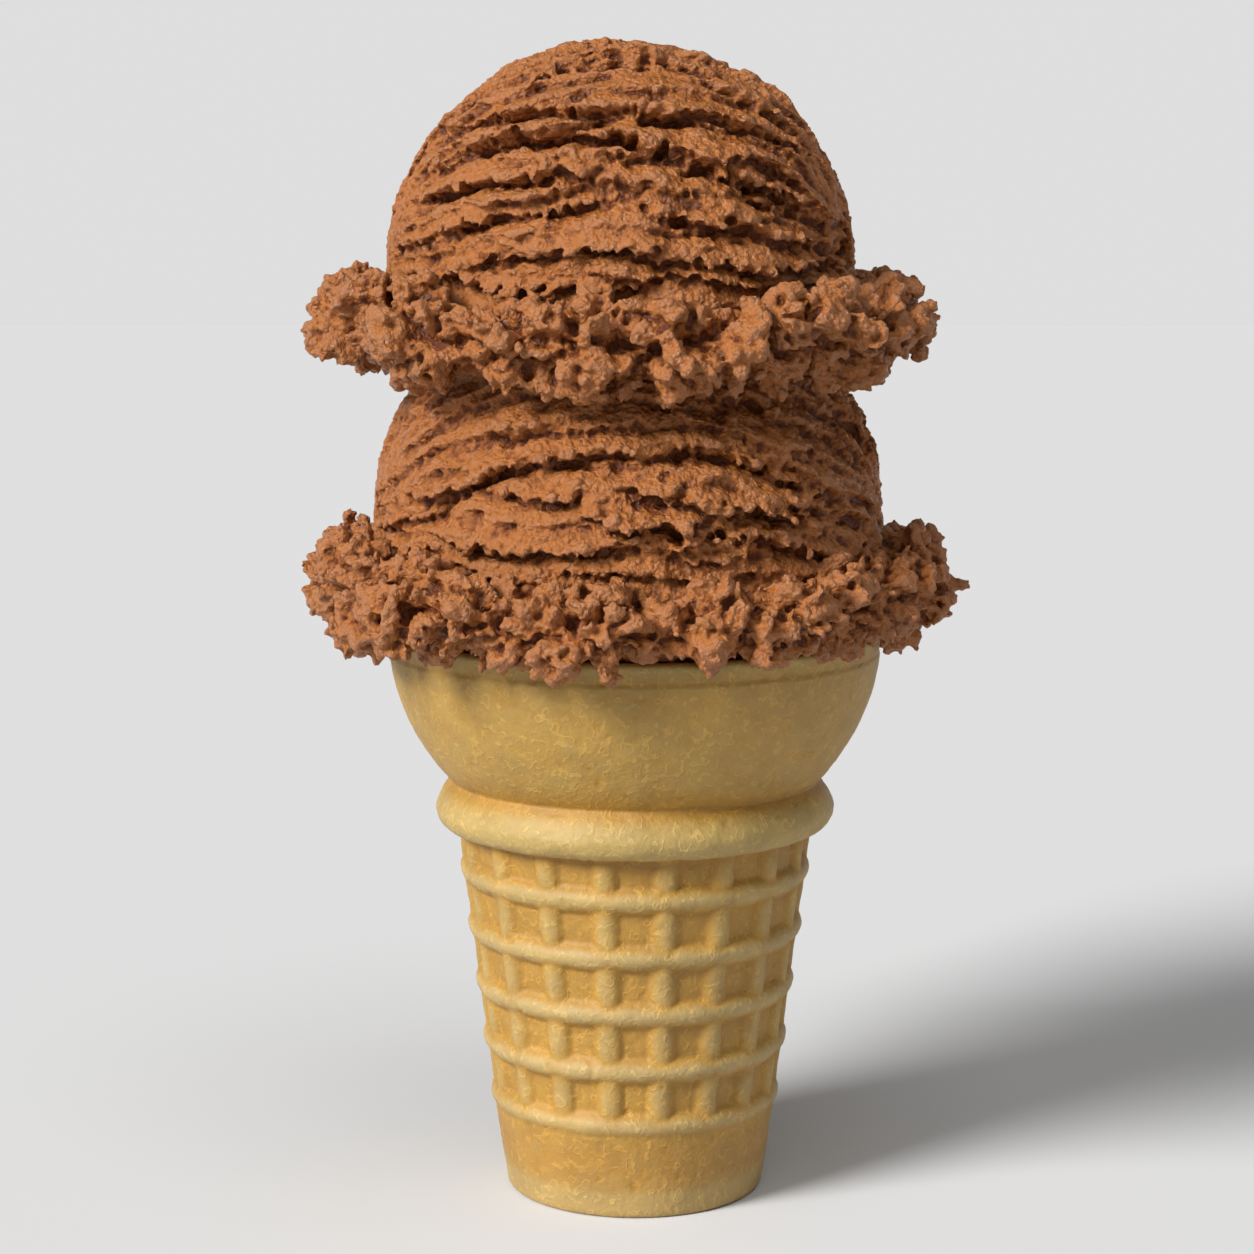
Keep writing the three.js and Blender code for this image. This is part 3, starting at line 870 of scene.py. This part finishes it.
def lip_crumbs(size, lips):
    """The rounded teeth along the torn lips, front and back."""
    centres, radii = [], []
    for number, lip in enumerate(lips):
        start, end = lip[:2]
        count = int((math.asin(end) - math.asin(start)) * size["width"] / TOOTH_PITCH)
        tooth = np.arange(count)
        seed = size["seed"] + 100 * number
        s = (tooth + chance(tooth, 1, seed)) / count
        turn = lip_line(lip, s) + 1.6 * (chance(tooth, 2, seed) - 0.35)
        across = start + (end - start) * s
        keep = (s > 0.06) & (s < 0.94) & (chance(tooth, 4, seed) > 0.25)
        for mirrored in (False, True):
            at_across = -across[keep] if mirrored else across[keep]
            at_turn = MIRRORED_TURNS - turn[keep] if mirrored else turn[keep]
            centres.append(dome_surface(size, lips, at_across, at_turn))
            radii.append(0.3 + 0.5 * chance(tooth[keep], 3, seed + mirrored))
    return crumb_shapes(np.concatenate(centres), np.concatenate(radii), size["seed"] + 1)


def joined(shapes):
    """One list of points and faces from several."""
    points, faces, start = [], [], 0
    for shape_points, shape_faces in shapes:
        points.append(shape_points)
        faces += [[start + n for n in face] for face in shape_faces]
        start += len(shape_points)
    return np.concatenate(points), faces


def modified(mesh, kind, **settings):
    """The mesh after one modifier."""
    stand_in = bpy.data.objects.new("work", mesh)
    scene.collection.objects.link(stand_in)
    modifier = stand_in.modifiers.new("work", kind)
    for key, value in settings.items():
        setattr(modifier, key, value)
    graph = bpy.context.evaluated_depsgraph_get()
    result = bpy.data.meshes.new_from_object(stand_in.evaluated_get(graph), depsgraph=graph)
    bpy.data.objects.remove(stand_in)
    bpy.data.meshes.remove(mesh)
    return result


def drop_loose_bits(mesh):
    """Takes out the crumbs and the closed-in bubbles that aren't joined to the main body."""
    start, end = read_edges(mesh)
    body = np.arange(len(mesh.vertices))
    settled = False
    while not settled:
        lowest = np.minimum(body[start], body[end])
        joined_up = body.copy()
        np.minimum.at(joined_up, start, lowest)
        np.minimum.at(joined_up, end, lowest)
        joined_up = joined_up[joined_up]
        settled = np.array_equal(joined_up, body)
        body = joined_up
    loose = np.flatnonzero(body != np.bincount(body).argmax())
    work = bmesh.new()
    work.from_mesh(mesh)
    work.verts.ensure_lookup_table()
    bmesh.ops.delete(work, geom=[work.verts[n] for n in loose.tolist()], context="VERTS")
    work.to_mesh(mesh)
    work.free()


def roughen(mesh, seed, chips, nubs, grain, is_hidden):
    """Chips, pits and rounded nubs over the torn surface, drawn out sideways by a grain below 1."""
    points, normals = read_points(mesh), read_normals(mesh)
    patch = np.clip(0.5 + 0.9 * noise(points / 4.0 + seed), 0, 1)
    torn = stirred(points, 0.45, 1.0) * np.array([grain, 1, 1])
    chip, chip_edge = clods(torn / 1.7, seed)
    nub = lumps(torn / 1.35, seed + 3) - 0.75
    small_nub = lumps(stirred(points, 0.25, 0.7) / 0.85 + 5, seed + 4) - 0.75
    ridges = 0.5 - np.abs(noise(points / 0.75 + 3)) - 0.5 * np.abs(noise(points / 0.45 + 7))
    pits = np.clip(0.93 - lumps(torn / 1.3 + 9, seed + 2), -1, 0)
    move = (0.2 + 0.8 * patch) * (0.6 * (chip - 0.5) - 0.4 * np.clip(1 - chip_edge / 0.25, 0, 1))
    move = chips * (move + 0.2 * ridges + 3.0 * patch * pits)
    move += nubs * (nub + 0.55 * small_nub)
    move = np.where(is_hidden(points), 0, move)
    write_points(mesh, points + normals * move[:, None])


def inside_dome(size, points, inset):
    """Whether points lie deeper than the inset inside the scoop's ball."""
    away = points - [size["x"], 0, size["z"]]
    return ((away / (np.array([size["width"], size["width"], size["height"]]) - inset)) ** 2).sum(1) < 1


def inside_collar(size, points, inset):
    """Whether points lie deeper than the inset inside the collar, or under it."""
    x, y = points[:, 0] - size["x"], points[:, 1]
    radius = np.hypot(x, y)
    side = (x / np.maximum(radius, 0.1)) ** 2
    middle = size["front_z"] + (size["side_z"] - size["front_z"]) * side
    half = size["front_half"] + (size["side_half"] - size["front_half"]) * side - inset
    out = (radius - size["ring"]) / (size["depth"] - inset)
    return (out**2 + ((points[:, 2] - middle) / half) ** 2 < 1) | (points[:, 2] < middle)


def inside_collar_hole(size, points):
    """Whether points lie on the plain underside that the collar goes round."""
    radius = np.hypot(points[:, 0] - size["x"], points[:, 1])
    return (points[:, 2] < size["low"] + 0.2) & (radius < size["ring"] - 7)


def build_ice(name, shapes, is_hidden, seed, chips, nubs, grain, creamy):
    """One piece of ice cream: its shapes run together, roughened, softened and thinned."""
    raw_points, raw_faces = joined(shapes)
    raw_points = stirred(raw_points, 0.2, 1.6)
    mesh = bpy.data.meshes.new(name)
    mesh.from_pydata(raw_points.tolist(), [], raw_faces)
    mesh = modified(mesh, "REMESH", mode="VOXEL", voxel_size=VOXEL, adaptivity=0)
    drop_loose_bits(mesh)
    roughen(mesh, seed, chips, nubs, grain, is_hidden)
    mesh = modified(mesh, "SMOOTH", factor=0.5, iterations=creamy)
    triangles = sum(len(p.vertices) - 2 for p in mesh.polygons)
    if triangles > MOST_TRIANGLES:
        mesh = modified(mesh, "DECIMATE", ratio=MOST_TRIANGLES / triangles)
    mesh.validate()
    mark_relief(mesh)
    mesh.transform(Matrix.Scale(MM, 4))
    mesh.shade_smooth()
    mesh.name = name
    piece = bpy.data.objects.new(name, mesh)
    scene.collection.objects.link(piece)
    return piece


def chocolate_ice():
    """Brown ice cream, finely grained, with painted highlights where it stands out and painted shade in
    its creases.
    """
    ice = bpy.data.materials.new("chocolate_ice")
    ice.use_nodes = True
    nodes, links = ice.node_tree.nodes, ice.node_tree.links
    shader = nodes["Principled BSDF"]
    place = nodes.new("ShaderNodeTexCoord")

    # Painted shade in the creases and painted highlights on what stands out, from the relief.
    relief = nodes.new("ShaderNodeAttribute")
    relief.attribute_name = "relief"
    standing = add_range(nodes, -0.45, 0.6)
    tint = add_ramp(nodes, CREASE_SHADE_BROWN, FACE_BROWN, CREST_HIGHLIGHT_BROWN, 0.43)
    links.new(relief.outputs["Fac"], standing.inputs["Value"])
    links.new(standing.outputs["Result"], tint.inputs["Fac"])
    links.new(tint.outputs["Color"], shader.inputs["Base Color"])

    # Fine rounded nubs with a finer grain over them.
    grain = add_noise(nodes, scale=1500, detail=4)
    grain.inputs["Roughness"].default_value = 0.65
    nubs = nodes.new("ShaderNodeTexVoronoi")
    nubs.inputs["Scale"].default_value = 1500
    surface = add_math(nodes, "MULTIPLY_ADD", -0.55)
    bump = add_bump(nodes, depth=0.6 * MM)
    links.new(place.outputs["Object"], grain.inputs["Vector"])
    links.new(place.outputs["Object"], nubs.inputs["Vector"])
    links.new(nubs.outputs["Distance"], surface.inputs[0])
    links.new(grain.outputs["Fac"], surface.inputs[2])
    links.new(surface.outputs["Value"], bump.inputs["Height"])
    links.new(bump.outputs["Normal"], shader.inputs["Normal"])

    shader.inputs["Subsurface Weight"].default_value = 0.2
    shader.inputs["Subsurface Radius"].default_value = (1.0, 0.45, 0.15)
    shader.inputs["Subsurface Scale"].default_value = 0.0008
    shader.inputs["Roughness"].default_value = 0.28
    shader.inputs["Specular IOR Level"].default_value = 0.45
    return ice


def build_scoop(size, lips, ice):
    """One scoop's dome and collar, which run into each other."""
    name, seed = size["name"], size["seed"]
    dome = build_ice(
        name + "_dome",
        [dome_shape(size, lips), lip_crumbs(size, lips)],
        lambda points: inside_collar(size, points, HIDDEN_DEPTH) | (points[:, 2] > size["top"] - 0.2),
        seed=seed,
        chips=0.7,
        nubs=0.4,
        grain=0.55,
        creamy=1,
    )
    collar = build_ice(
        name + "_collar",
        [collar_shape(size), core_shape(size), collar_crumbs(size)],
        lambda points: inside_dome(size, points, HIDDEN_DEPTH) | inside_collar_hole(size, points),
        seed=seed + 5,
        chips=0.2,
        nubs=0.8,
        grain=1.0,
        creamy=2,
    )
    for piece in (dome, collar):
        piece.data.materials.append(ice)
        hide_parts(name)
        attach(piece, "root")


ice = chocolate_ice()
build_scoop(LOWER, LOWER_LIPS, ice)


# ---- Upper scoop ----
# A second ball of the same ice cream, set on the flattened top of the first. Its collar hangs just
# over the edge of the scoop below.

UPPER = {
    "name": "upper_scoop",
    "seed": 47,
    "x": -1.85,
    "z": 117.5,
    "width": 29.1,
    "height": 28.2,
    "low": 105.5,
    "top": 160.0,  # above the ball, which nothing squashes
    "ring": 33.0,
    "depth": 5.5,
    "front_z": 109.6,
    "side_z": 111.4,
    "front_half": 5.0,
    "side_half": 5.6,
}
UPPER_LIPS = (
    (-0.45, 0.20, 61, 63, 62, 1.3),
    (0.32, 0.84, 60, 58, 64, 1.5),
    (-0.84, 0.92, 60, 43.5, 57, 2.1),
    (-0.88, 0.78, 47, 36, 28, 2.4),
    (-0.88, -0.04, 35, 29, 26.5, 2.4),
    (0.20, 0.84, 27, 31, 24, 2.3),
    (-0.97, 0.12, 15, 17.5, 20, 2.4),
    (0.05, 0.62, 19.5, 15, 18, 2.1),
    (-0.70, 0.26, 3.5, 8, 8, 2.2),
    (-0.01, 0.78, 6.5, 4, 4, 2.4),
    (-0.80, 0.16, 1.5, -2, 0, 2.6),
    (0.00, 0.62, -8, -7.5, -3.5, 2.7),
    (0.42, 0.92, 26, 24.5, 28, 1.8),
    (0.50, 0.98, 15, 14.5, 22, 1.8),
    (0.44, 0.96, 6.5, 6, 12, 1.7),
)

build_scoop(UPPER, UPPER_LIPS, ice)
